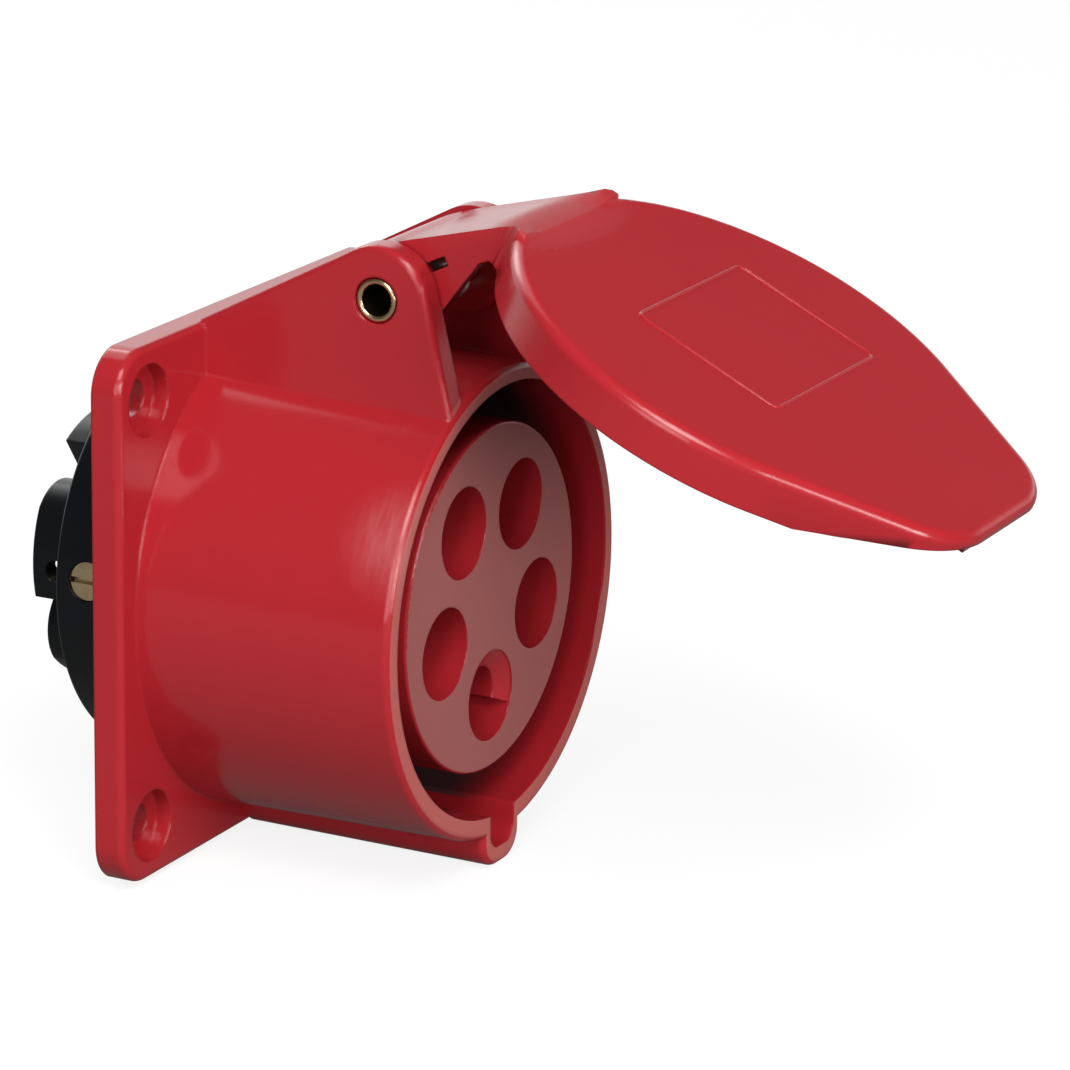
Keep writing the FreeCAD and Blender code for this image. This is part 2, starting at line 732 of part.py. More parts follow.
def lid_spring():
    """Torsion spring round the rivet: one leg in the lid's cheek, one on the collar."""
    catch = turned(catch_u, catch_off)
    foot_r = collar_root_r - collar_draft * (y_front - spring_foot_y) / collar_len
    foot = V(0, spring_foot_y, foot_r + wire_d / 2 + shaft_gap) - pin
    catch_far = math.hypot(catch.y, catch.z)
    foot_far = math.hypot(foot.y, foot.z)
    start = math.atan2(catch.z, catch.y) + math.acos(coil_r / catch_far)
    finish = math.atan2(foot.z, foot.y) - math.acos(coil_r / foot_far)
    turns = coil_turns + ((finish - start) / (2 * math.pi)) % 1
    half = turns * coil_pitch / 2
    lead = coil_pitch / (2 * math.pi * coil_r)
    coil = Part.makeHelix(coil_pitch, 2 * half, coil_r)
    upright = FreeCAD.Rotation(V(0, 1, 0), V(0, 0, 1), V(1, 0, 0))
    coil.Placement = FreeCAD.Placement(V(-half, 0, 0), upright)
    coil.rotate(V(0, 0, 0), V(1, 0, 0), math.degrees(start))
    catch_leg = math.sqrt(catch_far ** 2 - coil_r ** 2)
    foot_leg = math.sqrt(foot_far ** 2 - coil_r ** 2)
    first = V(-half, coil_r * math.cos(start), coil_r * math.sin(start))
    last = V(half, coil_r * math.cos(finish), coil_r * math.sin(finish))
    bend = V(-half - lead * catch_leg, catch.y, catch.z)
    tip = V(-arm_half_w + fit_gap, catch.y, catch.z)
    end = V(half + lead * foot_leg, foot.y, foot.z)
    edges = rounded_corner(tip, bend, first, wire_d) + coil.Edges + [line(last, end)]
    section = Part.Wire(Part.makeCircle(wire_d / 2, tip, V(1, 0, 0)))
    wire = Part.Wire(edges).makePipeShell([section], True, False)
    return wire.translate(pin)


def turned(u, off):
    """Place on the open lid, measured from the hinge pin."""
    spot = lid_point(u, off) - pin
    return FreeCAD.Rotation(V(-1, 0, 0), lid_open).multVec(spot)


def rounded_corner(a, corner, b, r):
    """Two straight runs joined by an arc at their corner."""
    back = (a - corner).normalize()
    ahead = (b - corner).normalize()
    half = back.getAngle(ahead) / 2
    trim = r / math.tan(half)
    inward = (back + ahead).normalize()
    from_a = corner + back * trim
    to_b = corner + ahead * trim
    middle = corner + inward * (r / math.sin(half) - r)
    return [line(a, from_a), arc(from_a, middle, to_b), line(to_b, b)]


shapes = {
    "housing": housing(),
    "contact_face": contact_face(),
    "rear_carrier": rear_carrier(),
    "lid": swing(lid_closed()),
    "lid_seal": swing(lid_seal()),
    "hinge_rivet": hinge_rivet(),
    "lid_spring": lid_spring(),
    "terminal_screws": Part.makeCompound([terminal_screw(i) for i in range(len(contact_names))]),
    "clamp_plates": Part.makeCompound([clamp_plate(i) for i in range(len(contact_names))]),
    "carrier_screws": Part.makeCompound([carrier_screw(90), carrier_screw(270)]),
}
for number, name in enumerate(contact_names):
    shapes["contact_" + name] = contact(number)
    shapes["contact_ring_" + name] = contact_ring(number)

os.makedirs("parts", exist_ok=True)
for name, shape in shapes.items():
    shape.exportStep("parts/" + name + ".step")
    box = shape.BoundBox
    print(name, shape.isValid(), len(shape.Solids), round(shape.Volume, 1),
          [round(v, 2) for v in (box.XMin, box.YMin, box.ZMin, box.XMax, box.YMax, box.ZMax)])
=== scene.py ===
# %% [markdown]
# # A red industrial panel socket with its lid standing open
# The socket is a square moulded flange with a round collar, five wells for the pins of a plug,
# and a lid that swings on a hollow brass rivet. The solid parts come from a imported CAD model.
# This script gives them their finishes, adds the small forms that a moulding has, and sets up
# the camera and the light of a plain studio picture.
#
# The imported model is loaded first, because every piece made here is placed against it. Two short
# helpers follow, as most cells put an object in the scene or turn a bmesh into a mesh.

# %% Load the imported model
import math
import bmesh
import bpy
from mathutils import Matrix, Vector


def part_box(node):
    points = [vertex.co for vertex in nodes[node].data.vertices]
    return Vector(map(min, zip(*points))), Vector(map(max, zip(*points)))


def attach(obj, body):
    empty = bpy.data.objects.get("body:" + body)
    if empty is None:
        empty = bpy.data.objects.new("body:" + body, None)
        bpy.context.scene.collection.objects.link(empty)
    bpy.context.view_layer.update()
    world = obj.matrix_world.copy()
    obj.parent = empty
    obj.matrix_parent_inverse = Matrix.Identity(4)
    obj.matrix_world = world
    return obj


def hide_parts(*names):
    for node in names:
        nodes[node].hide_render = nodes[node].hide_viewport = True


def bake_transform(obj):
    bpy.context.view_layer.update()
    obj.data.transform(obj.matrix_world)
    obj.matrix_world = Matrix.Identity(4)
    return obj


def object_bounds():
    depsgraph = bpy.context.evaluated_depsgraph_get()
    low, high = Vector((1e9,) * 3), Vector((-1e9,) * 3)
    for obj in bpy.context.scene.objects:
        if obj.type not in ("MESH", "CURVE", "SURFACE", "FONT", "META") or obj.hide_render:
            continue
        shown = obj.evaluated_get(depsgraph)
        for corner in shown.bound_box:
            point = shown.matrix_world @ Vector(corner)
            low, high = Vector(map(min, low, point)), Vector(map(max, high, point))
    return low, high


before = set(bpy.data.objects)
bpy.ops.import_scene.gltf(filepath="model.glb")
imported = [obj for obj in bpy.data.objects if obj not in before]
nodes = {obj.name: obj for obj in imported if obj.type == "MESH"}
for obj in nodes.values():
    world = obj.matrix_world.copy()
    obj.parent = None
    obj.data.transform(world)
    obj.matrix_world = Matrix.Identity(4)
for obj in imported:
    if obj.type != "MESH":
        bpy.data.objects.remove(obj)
box_of_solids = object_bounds()


# %% Helpers for objects
def placed(name, data):
    """A new object in the scene, with that data."""
    thing = bpy.data.objects.new(name, data)
    bpy.context.scene.collection.objects.link(thing)
    return thing


def mesh_of(name, shape):
    """Turns a bmesh into a mesh and frees it."""
    mesh = bpy.data.meshes.new(name)
    shape.to_mesh(mesh)
    shape.free()
    return mesh


# %% [markdown]
# ## The camera
# The camera was worked out from the picture: the flange, its four holes and the collar's two
# circles are enough to find where the lens was. It is a long lens, 175 mm on a 36 mm sensor,
# so the sides of the flange stay nearly parallel. A look-at helper could aim it, but the
# picture is also turned by a little less than a degree, so the three axes are written out.

# %% Camera
azimuth, elevation, roll = math.radians(-62.872), math.radians(16.768), math.radians(0.868)
focal_px, frame_px = 5207.458, 1070
lens_place = Vector((-0.600804, -0.354796, 0.213356))

back = Vector((math.sin(azimuth) * math.cos(elevation), -math.cos(azimuth) * math.cos(elevation),
               math.sin(elevation)))
level_right = Vector((math.cos(azimuth), math.sin(azimuth), 0))
level_up = back.cross(level_right)
right = level_right * math.cos(roll) + level_up * math.sin(roll)
up = level_up * math.cos(roll) - level_right * math.sin(roll)

lens = bpy.data.cameras.new("camera")
lens.sensor_width = 36
lens.lens = focal_px / frame_px * lens.sensor_width
lens.clip_start, lens.clip_end = 0.05, 50
camera = placed("camera", lens)
turn = Matrix((right, up, back)).transposed().to_4x4()
camera.matrix_world = Matrix.Translation(lens_place) @ turn
bpy.context.scene.camera = camera
bpy.context.scene.view_settings.view_transform = "Standard"
print("lens", round(lens.lens, 1), "mm")

# %% [markdown]
# ## Small helpers for node trees
# A finish is a tree of shader nodes. Writing each node by hand takes several lines, so one
# helper adds a node with its settings and joins its inputs. The others add the kinds that come
# back most often: a sum, a soft step, a noise, a mix. They keep the cells below short enough to
# read as a recipe.


# %% Helpers for nodes
def add(tree, kind, inputs=None, **settings):
    """Adds one node, sets its properties, and joins or sets its inputs."""
    node = tree.nodes.new(kind)
    for key, value in settings.items():
        setattr(node, key, value)
    for key, value in (inputs or {}).items():
        if isinstance(value, bpy.types.NodeSocket):
            tree.links.new(value, node.inputs[key])
        else:
            node.inputs[key].default_value = value
    return node


def blank(block):
    """The empty node tree of a material or a world."""
    block.use_nodes = True
    block.node_tree.nodes.clear()
    return block.node_tree


def maths(tree, operation, a, b):
    """The result of one sum."""
    return add(tree, "ShaderNodeMath", {0: a, 1: b}, operation=operation).outputs[0]


def vector_maths(tree, operation, a, b=(0, 0, 0)):
    """A number worked out from vectors, such as a length."""
    node = add(tree, "ShaderNodeVectorMath", {0: a, 1: b}, operation=operation)
    return node.outputs["Value"]


def axes_of(tree, vector):
    """The X, Y and Z of a vector."""
    return add(tree, "ShaderNodeSeparateXYZ", {0: vector}).outputs


def ramp(tree, value, start, end, bottom=0.0, top=1.0, kind="SMOOTHSTEP"):
    """Carries a number from one range to another, by a soft step or a LINEAR one."""
    ends = {"From Min": start, "From Max": end, "To Min": bottom, "To Max": top}
    node = add(tree, "ShaderNodeMapRange", {"Value": value, **ends}, interpolation_type=kind)
    return node.outputs["Result"]


def noise(tree, place, scale, detail, roughness=0.5):
    """A noise between 0 and 1."""
    node = add(tree, "ShaderNodeTexNoise",
               {"Vector": place, "Scale": scale, "Detail": detail, "Roughness": roughness})
    return node.outputs["Fac"]


def blended(tree, amount, a, b, data_type="RGBA"):
    """A mix of two colours, or of two numbers."""
    node = add(tree, "ShaderNodeMix", {"Factor": amount, "A": a, "B": b}, data_type=data_type)
    return node.outputs["Result"]


def linear(r, g, b):
    """A colour read off a screen, 0 to 255, as the linear numbers that a shader takes."""
    def one(v):
        v /= 255
        return v / 12.92 if v <= 0.04045 else ((v + 0.055) / 1.055) ** 2.4
    return (one(r), one(g), one(b), 1)


# %% [markdown]
# ## Floor, sky and lamps
# The picture has a white ground. A white floor alone looks grey at a plain light level, so the
# floor adds a little glow that only the camera and mirror-like reflections see, and it still
# catches the shadow. The sky is white where the camera looks. For reflections it is a studio:
# a white wall behind the socket, which puts a pale sheen on surfaces seen at a flat angle, a
# bright ceiling on the right, whose edge draws the thin streak on the collar, and a dim room on
# the camera's side, which leaves the red deep. Soft steps of the direction draw all of it.

# %% White floor
floor_radius, floor_below = 6, 0.0002
glow_strength = 0.85
mirrored_low, mirrored_high = 0.06, 1.0

disc = bmesh.new()
bmesh.ops.create_circle(disc, cap_ends=True, radius=floor_radius, segments=96)
floor_mesh = mesh_of("floor", disc)
floor_mesh.transform(Matrix.Translation((0, 0, box_of_solids[0].z - floor_below)))
placed("floor", floor_mesh)

paper = bpy.data.materials.new("white floor")
t = blank(paper)
spot = axes_of(t, add(t, "ShaderNodeNewGeometry").outputs["Position"])
far_corner = maths(t, "MULTIPLY", ramp(t, spot["X"], 0.06, 0.15), ramp(t, spot["Y"], -0.03, 0.02))
mirrored_share = ramp(t, far_corner, 0.0, 1.0, mirrored_low, mirrored_high, kind="LINEAR")
path = add(t, "ShaderNodeLightPath").outputs
direct = maths(t, "MAXIMUM", path["Is Camera Ray"], path["Is Transmission Ray"])
by_mirror = maths(t, "MULTIPLY", path["Is Glossy Ray"], mirrored_share)
glow_amount = maths(t, "MULTIPLY", maths(t, "MAXIMUM", direct, by_mirror), glow_strength)
glow = add(t, "ShaderNodeEmission", {"Color": (1, 1, 1, 1), "Strength": glow_amount})
matt = add(t, "ShaderNodeBsdfDiffuse", {"Color": (0.2, 0.2, 0.2, 1)})
both = add(t, "ShaderNodeAddShader", {0: matt.outputs[0], 1: glow.outputs[0]})
add(t, "ShaderNodeOutputMaterial", {"Surface": both.outputs[0]})
floor_mesh.materials.append(paper)

# %% Sky
ceiling_light, room_light, soft_light = 1.3, 0.08, 0.32

world = bpy.data.worlds.new("studio")
bpy.context.scene.world = world
t = blank(world)
direction = add(t, "ShaderNodeTexCoord").outputs["Generated"]
axes = axes_of(t, direction)
away = vector_maths(t, "DOT_PRODUCT", direction, -back)
wall = maths(t, "MULTIPLY", ramp(t, away, 0.1, 0.7), ramp(t, axes["Z"], 0.15, 0.42, 1.0, 0.0))
on_right = ramp(t, axes["X"], 0.07, 0.13, 0.0, ceiling_light)
behind = maths(t, "MULTIPLY", on_right, ramp(t, axes["Y"], 0.2, 0.4))
ceiling = maths(t, "MULTIPLY", behind, ramp(t, axes["Z"], 0.15, 0.4))
mirrored = maths(t, "ADD", maths(t, "ADD", wall, ceiling), room_light)

# the camera sees white, reflections see the studio, and matt surfaces get an even soft light
path = add(t, "ShaderNodeLightPath").outputs
shown = maths(t, "MAXIMUM", path["Is Camera Ray"], path["Is Transmission Ray"])
lit = blended(t, path["Is Glossy Ray"], soft_light, mirrored, "FLOAT")
strength = blended(t, shown, lit, 1.0, "FLOAT")
sky = add(t, "ShaderNodeBackground", {"Color": (1, 1, 1, 1), "Strength": strength})
add(t, "ShaderNodeOutputWorld", {"Surface": sky.outputs[0]})

# %% Lamps
lamp_target = Vector((0, -0.03, 0))


def soft_box(name, place, size, watts):
    """A square studio lamp that looks at the socket."""
    lamp = bpy.data.lights.new(name, "AREA")
    lamp.shape = "SQUARE"
    lamp.size = size
    lamp.energy = watts
    holder = placed(name, lamp)
    holder.location = place
    aim = lamp_target - holder.location
    holder.rotation_euler = aim.to_track_quat("-Z", "Y").to_euler()


soft_box("key lamp", (-0.75, -0.55, 1.0), 0.6, 11.5)
soft_box("front lamp", (-0.55, -1.2, 0.22), 0.4, 7.6)
soft_box("left lamp", (-1.1, -0.15, 0.30), 0.5, 3.4)
soft_box("back lamp", (0.6, 0.9, 0.8), 0.5, 3.0)

# %% [markdown]
# ## Moulded plastic
# The body is a glossy thermoplastic. On the real part the surface is not flat colour: the
# moulding has a faint flow of lighter and darker red, a very fine ripple that breaks up the
# reflections, and soft edges that catch the light. One function makes all the plastics from
# noise textures at three scales. The Bevel node rounds the edges for the shading only, which is
# far lighter than rounding every edge of the mesh.

# %% Plastic
flow_scale, grain_scale, ripple_scale = 38.0, 900.0, 160.0
grain_spread, ripple_depth = 0.04, 0.0002


def plastic(name, colour, darker, roughness, ripple, edge, specular=0.5, change=None):
    """Moulded plastic with a faint colour flow, a fine ripple and soft edges."""
    material = bpy.data.materials.new(name)
    t = blank(material)
    place = add(t, "ShaderNodeTexCoord").outputs["Object"]
    tint = blended(t, noise(t, place, flow_scale, 5.0, 0.55), colour, darker)
    rough = ramp(t, noise(t, place, grain_scale, 3.0), 0.0, 1.0, roughness - grain_spread,
                 roughness + grain_spread, kind="LINEAR")
    if change:
        tint, rough = change(t, place, tint, rough)
    soft = add(t, "ShaderNodeBevel", {"Radius": edge}, samples=4)
    bump = add(t, "ShaderNodeBump", {"Strength": ripple, "Distance": ripple_depth,
                                     "Height": noise(t, place, ripple_scale, 4.0),
                                     "Normal": soft.outputs["Normal"]})
    skin = add(t, "ShaderNodeBsdfPrincipled", {"Base Color": tint, "Roughness": rough,
                                               "Specular IOR Level": specular,
                                               "Normal": bump.outputs["Normal"]})
    add(t, "ShaderNodeOutputMaterial", {"Surface": skin.outputs[0]})
    return material


# %% [markdown]
# ## Worn places and painted light
# The flat faces at the front, the collar's rim and the contact face, are not glossy like the rest:
# their tool is eroded, so they look matt and a little browner. The collar has a pale streaky patch
# on its upper left just behind its rim, a painted highlight, and its bore is painted greyer and
# darker the deeper it goes, a painted shade. The lid is duller where its arm meets its face. All
# four are masks inside the plastic's material. One goes by the way a face points and how far
# forward it lies, one by the depth in the bore, and two by the distance from a place, the pale
# patch broken up by streaks of noise.

# %% Masks for the worn places and the painted light
rim_matt_y, face_matt_y = -0.0415, -0.0385
rim_outside_r, bore_outside_r = 0.0334, 0.0312
bore_light_y, bore_dark_y, bore_shade_amount = -0.0385, -0.0310, 0.9
pale_patch_middle = (-0.0290, -0.0415, 0.0155)
crest_middle = (0, -0.0499, 0.0545)
matt_roughness, pale_patch_roughness = 0.6, 0.45


def near_to(t, place, middle, full, none):
    """1 within a distance of a point, and softly down to 0 at a larger one."""
    return ramp(t, vector_maths(t, "DISTANCE", place, middle), full, none, 1.0, 0.0)


def matt_front(dull, ahead_of):
    """Gives a change that turns the flat faces ahead of a plane matt and dull."""
    def change(t, place, tint, rough):
        facing = axes_of(t, add(t, "ShaderNodeNewGeometry").outputs["Normal"])
        flat = ramp(t, facing["Y"], -0.9, -0.99, kind="LINEAR")
        where = axes_of(t, place)
        ahead = maths(t, "LESS_THAN", where["Y"], ahead_of)
        # above the axis the mask ends at the rim's radius, so the ears stay glossy
        height = maths(t, "MAXIMUM", where["Z"], 0.0)
        spread = add(t, "ShaderNodeCombineXYZ", {0: where["X"], 2: height}).outputs[0]
        on_rim = maths(t, "LESS_THAN", vector_maths(t, "LENGTH", spread), rim_outside_r)
        amount = maths(t, "MULTIPLY", flat, maths(t, "MULTIPLY", ahead, on_rim))
        return blended(t, amount, tint, dull), blended(t, amount, rough, matt_roughness, "FLOAT")
    return change


def painted_bore_shade(t, place, tint):
    """Painted shade: darkens the collar's bore towards its depth, greyer and darker the deeper it
    goes.
    """
    where = axes_of(t, place)
    across = add(t, "ShaderNodeCombineXYZ", {0: where["X"], 2: where["Z"]}).outputs[0]
    inside = maths(t, "LESS_THAN", vector_maths(t, "LENGTH", across), bore_outside_r)
    depth = ramp(t, where["Y"], bore_light_y, bore_dark_y, 0.0, bore_shade_amount)
    # the painted shade's colour, a greyish dark red, mixed in deep inside the bore
    return blended(t, maths(t, "MULTIPLY", inside, depth), tint, linear(62, 54, 57))


def matt_front_and_painted_light(t, place, tint, rough):
    """Matt front, painted shade deep in the bore, and a painted highlight: a pale streaky patch on
    the collar's upper left just behind the rim.
    """
    tint, rough = matt_front(linear(188, 96, 91), rim_matt_y)(t, place, tint, rough)
    # painted shade deep in the bore
    tint = painted_bore_shade(t, place, tint)
    # painted highlight: a pale, rougher patch broken up by streaks stands in for a soft reflection
    near = near_to(t, place, pale_patch_middle, 0.0015, 0.0095)
    along = add(t, "ShaderNodeMapping", {"Vector": place, "Scale": (1.0, 4.0, 0.6)})
    streaks = noise(t, along.outputs["Vector"], 260.0, 3.0)
    broken = ramp(t, streaks, 0.25, 0.7, 0.08, 0.25, kind="LINEAR")
    pale_patch = maths(t, "MULTIPLY", near, broken)
    return (blended(t, pale_patch, tint, linear(214, 150, 148)),
            blended(t, pale_patch, rough, pale_patch_roughness, "FLOAT"))


def rubbed_crest(t, place, tint, rough):
    """Duller where the arm's crest meets the lid's face, so that its sheen fades out softly."""
    squeezed = add(t, "ShaderNodeMapping", {"Vector": place, "Scale": (0.35, 1.0, 1.0)})
    near = near_to(t, squeezed.outputs["Vector"], crest_middle, 0.003, 0.0075)
    return tint, blended(t, near, rough, matt_roughness, "FLOAT")


# %% The plastics of this socket
red = plastic("glossy red plastic", linear(176, 38, 45), linear(168, 33, 41),
              0.14, 0.04, 0.0006, change=matt_front_and_painted_light)
face_red = plastic("red plastic of the contact face", linear(172, 38, 44), linear(162, 32, 40),
                   0.2, 0.05, 0.0004, change=matt_front(linear(160, 90, 87), face_matt_y))
lid_red = plastic("glossy red plastic of the lid", linear(178, 38, 45), linear(171, 33, 41),
                  0.2, 0.05, 0.0004, change=rubbed_crest)
black = plastic("black plastic", linear(19, 21, 23), linear(12, 14, 16),
                0.3, 0.15, 0.0004, specular=0.25)
rubber = plastic("black rubber", linear(30, 30, 30), linear(22, 22, 22), 0.75, 0.25, 0.0003)

# %% [markdown]
# ## Metals
# The rivet, the screws and the contacts are brass, and the springs and small plates are steel.
# Metal gets its look from what it mirrors, so the colour is simple and the work is in the
# roughness: fine scratches that run one way, and a little tarnish in soft patches.

# %% Metal
patch_scale, scratch_scale, scratch_stretch, scratch_depth = 220.0, 2500.0, 0.05, 0.00005
scratch_smoother, scratch_rougher = 0.08, 0.12


def metal(name, colour, tarnish, roughness, scratches):
    """Worn metal with patches of tarnish and fine scratches along Y."""
    material = bpy.data.materials.new(name)
    t = blank(material)
    place = add(t, "ShaderNodeTexCoord").outputs["Object"]
    patches = ramp(t, noise(t, place, patch_scale, 4.0), 0.45, 0.75, kind="LINEAR")
    stretch = add(t, "ShaderNodeMapping",
                  {"Vector": place, "Scale": (1.0, scratch_stretch, 1.0)})
    lines = noise(t, stretch.outputs["Vector"], scratch_scale, 2.0)
    rough = ramp(t, lines, 0.0, 1.0, roughness - scratch_smoother, roughness + scratch_rougher,
                 kind="LINEAR")
    bump = add(t, "ShaderNodeBump",
               {"Strength": scratches, "Distance": scratch_depth, "Height": lines})
    skin = add(t, "ShaderNodeBsdfPrincipled", {"Base Color": blended(t, patches, colour, tarnish),
                                               "Metallic": 1.0, "Roughness": rough,
                                               "Normal": bump.outputs["Normal"]})
    add(t, "ShaderNodeOutputMaterial", {"Surface": skin.outputs[0]})
    return material


brass = metal("brass", linear(226, 200, 160), linear(184, 148, 104), 0.24, 0.15)
# painted shade: near-black brass for the inside of the rivet's bore, where shade falls
painted_shade_brass = metal("brass in painted shade in the bore", linear(58, 46, 30), linear(36, 28, 20), 0.5, 0.3)
steel = metal("spring steel", linear(190, 190, 188), linear(150, 148, 144), 0.28, 0.2)
# painted shade: dark steel for the spring's hooked end inside the lid's slot
painted_shade_steel = metal("steel in painted shade at the spring's end", linear(44, 42, 42), linear(30, 28, 28), 0.6, 0.2)

# %% [markdown]
# ## Finishes for the solid parts
# Each solid keeps its own shape and takes one finish. The list says which real material each
# part is made of. The rings round the contacts are steel, and the parts that aren't listed are
# brass.

# %% Give each solid its finish
finish_of = {"housing": red, "lid": lid_red, "contact_face": face_red, "rear_carrier": black,
             "lid_seal": rubber, "lid_spring": steel, "clamp_plates": steel,
             "carrier_screws": steel}
for name, part in nodes.items():
    part.data.materials.clear()
    part.data.materials.append(finish_of.get(name, steel if "ring" in name else brass))
print("finished", len(nodes), "solid parts")

# %% [markdown]
# ## Shapes from rows of points
# Two pieces below are swept round a line: a section, a short loop of points, is set down again
# and again, and neighbouring rows are joined by faces. Rows that come back to the first one
# make a full turn. The helpers here join the rows, turn all faces outward and shade them
# smoothly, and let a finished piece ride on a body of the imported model.


# %% Helpers for swept shapes
def join_rows(shape, rows, full_turn=False):
    """Faces between each row of points and the next. Each row is a closed loop."""
    next_rows = rows[1:] + rows[:1] if full_turn else rows[1:]
    for here, after in zip(rows, next_rows):
        for j in range(len(here)):
            k = (j + 1) % len(here)
            shape.faces.new((here[j], here[k], after[k], after[j]))


def smooth_mesh(name, shape, sharp_from):
    """A mesh with its faces turned outward, smooth up to an angle in degrees."""
    bmesh.ops.recalc_face_normals(shape, faces=shape.faces)
    mesh = mesh_of(name, shape)
    mesh.shade_smooth()
    mesh.set_sharp_from_angle(angle=math.radians(sharp_from))
    return mesh


def piece_of(name, mesh, body):
    """Puts a finished mesh in the scene as a piece that rides on a body."""
    piece = placed(name, mesh)
    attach(piece, body)
    print(name, len(mesh.polygons), "faces")
    return piece


# %% [markdown]
# ## Hinge rivet
# The lid turns on a hollow brass rivet whose two ends are rolled over, so each end is a round
# ring with a dark hole. A cylinder with a bevel would miss the roll. A lathe does it best: half
# of the section is a short list of radius and height, an arc makes the roll, and every point is
# turned round the pin. The rivet keeps the place and the length of the solid one.

# %% Rivet
bore_r, shank_r, head_depth, head_taper = 0.00215, 0.0025, 0.0008, 0.0001
bore_margin = 0.00008
turns, roll_steps = 72, 12

rivet_low, rivet_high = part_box("hinge_rivet")
pin = (Vector(rivet_low) + Vector(rivet_high)) / 2
rivet_end = rivet_high[0]
head_r = (rivet_high[2] - rivet_low[2]) / 2
roll_r = (head_r - bore_r) / 2
roll = [(bore_r + roll_r * (1 - math.cos(a)), rivet_end - roll_r * (1 - math.sin(a)))
        for a in (math.pi * i / roll_steps for i in range(roll_steps + 1))]
under = [(head_r - head_taper, rivet_end - head_depth), (shank_r, rivet_end - head_depth)]
half = roll + under
section = half + [(r, -x) for r, x in reversed(half)]

lathe = bmesh.new()
rows = []
for i in range(turns):
    angle = math.tau * i / turns
    rows.append([lathe.verts.new((x, pin.y + r * math.cos(angle), pin.z + r * math.sin(angle)))
                 for r, x in section])
join_rows(lathe, rows, full_turn=True)
rivet_mesh = smooth_mesh("rolled_rivet", lathe, 50)
rivet_mesh.materials.append(brass)
rivet_mesh.materials.append(painted_shade_brass)
# painted shade: the faces inside the rivet's bore take the dark brass
for face in rivet_mesh.polygons:
    if math.hypot(face.center.y - pin.y, face.center.z - pin.z) < bore_r + bore_margin:
        face.material_index = 1
rivet = piece_of("rolled_rivet", rivet_mesh, "socket")
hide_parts("hinge_rivet")
print("rivet", round(2000 * rivet_end, 1), "mm long, head", round(2000 * head_r, 1), "mm across")

# %% [markdown]
# ## Lid spring
# The spring's coil sits on the rivet, one leg rests on the collar and the other hooks into the
# lid. When the lid turns, a real spring winds: each turn of the coil moves a little more than the
# one before. Here the spring keeps the shape of the solid one. Its hooked end is painted dark, a
# painted shade for the slot that no light falls into.

# %% Spring copied from the solid one, its end in painted shade
hooked_end_x, coil_end_x = -0.0098, 0.0026

spring_mesh = nodes["lid_spring"].data.copy()
spring_mesh.name = "wound_spring"
spring_mesh.materials.append(painted_shade_steel)
# painted shade: the faces of the hooked end take the dark steel
for face in spring_mesh.polygons:
    if face.center.x < hooked_end_x:
        face.material_index = 1
spring = placed("wound_spring", spring_mesh)
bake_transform(spring)
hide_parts("lid_spring")
print("spring", len(spring_mesh.polygons), "faces")

# %% [markdown]
# ## Label frame on the lid
# The lid carries a plain label field: a thin raised line in the shape of a rounded rectangle. A
# line that follows a path is a good case for Geometry Nodes: a rectangle curve, its corners
# rounded, and a small round wire swept along it. Only the upper part of the wire stands out of
# the lid. The tree is built flat, and one matrix lays the result on the lid's tilted face.


# %% Helpers for geometry trees
def new_tree(name, lengths, counts=()):
    """An empty geometry tree with named inputs."""
    tree = bpy.data.node_groups.new(name, "GeometryNodeTree")
    tree.interface.new_socket("Geometry", in_out="OUTPUT", socket_type="NodeSocketGeometry")
    for names, kind in ((lengths, "NodeSocketFloat"), (counts, "NodeSocketInt")):
        for key in names:
            tree.interface.new_socket(key, in_out="INPUT", socket_type=kind)
    return tree


def end_tree(tree, geometry, material):
    """Ends a tree: instances made real, and a material set."""
    real = add(tree, "GeometryNodeRealizeInstances", {"Geometry": geometry})
    painted = add(tree, "GeometryNodeSetMaterial",
                  {"Geometry": real.outputs[0], "Material": material})
    add(tree, "NodeGroupOutput", {"Geometry": painted.outputs[0]})


def grown(name, tree, **sizes):
    """Runs a geometry tree with the given sizes and keeps its result as a plain mesh."""
    holder = placed(name + " seed", bpy.data.meshes.new(name + " seed"))
    modifier = holder.modifiers.new("grow", "NODES")
    modifier.node_group = tree
    sockets = {item.name: item.identifier for item in tree.interface.items_tree
               if item.item_type == "SOCKET" and item.in_out == "INPUT"}
    for key, value in sizes.items():
        modifier[sockets[key]] = value
    ready = bpy.context.evaluated_depsgraph_get()
    mesh = bpy.data.meshes.new_from_object(holder.evaluated_get(ready), depsgraph=ready)
    holder.modifiers.remove(modifier)
    bpy.data.objects.remove(holder)
    mesh.name = name
    return mesh


# %% Tree of the label frame
tree = new_tree("label frame", ("Width", "Height", "Corner", "Wire"))
given = add(tree, "NodeGroupInput").outputs
outline = add(tree, "GeometryNodeCurvePrimitiveQuadrilateral",
              {"Width": given["Width"], "Height": given["Height"]})
rounded = add(tree, "GeometryNodeFilletCurve",
              {"Curve": outline.outputs[0], "Count": 6, "Radius": given["Corner"]}, mode="POLY")
wire = add(tree, "GeometryNodeCurvePrimitiveCircle", {"Resolution": 12, "Radius": given["Wire"]})
swept = add(tree, "GeometryNodeCurveToMesh",
            {"Curve": rounded.outputs[0], "Profile Curve": wire.outputs[0]})
end_tree(tree, swept.outputs[0], lid_red)
label_mesh = grown("label_frame", tree, Width=0.0308, Height=0.0224, Corner=0.0012, Wire=0.00028)

# %% Lay the frame on the lid
lid_along = Vector((0, -0.8966, -0.4429))
lid_out = Vector((0, -0.4429, 0.8966))
lid_face_height = 0.01881
label_along, label_x, wire_sunk = 0.0436, 0.0026, 0.00012


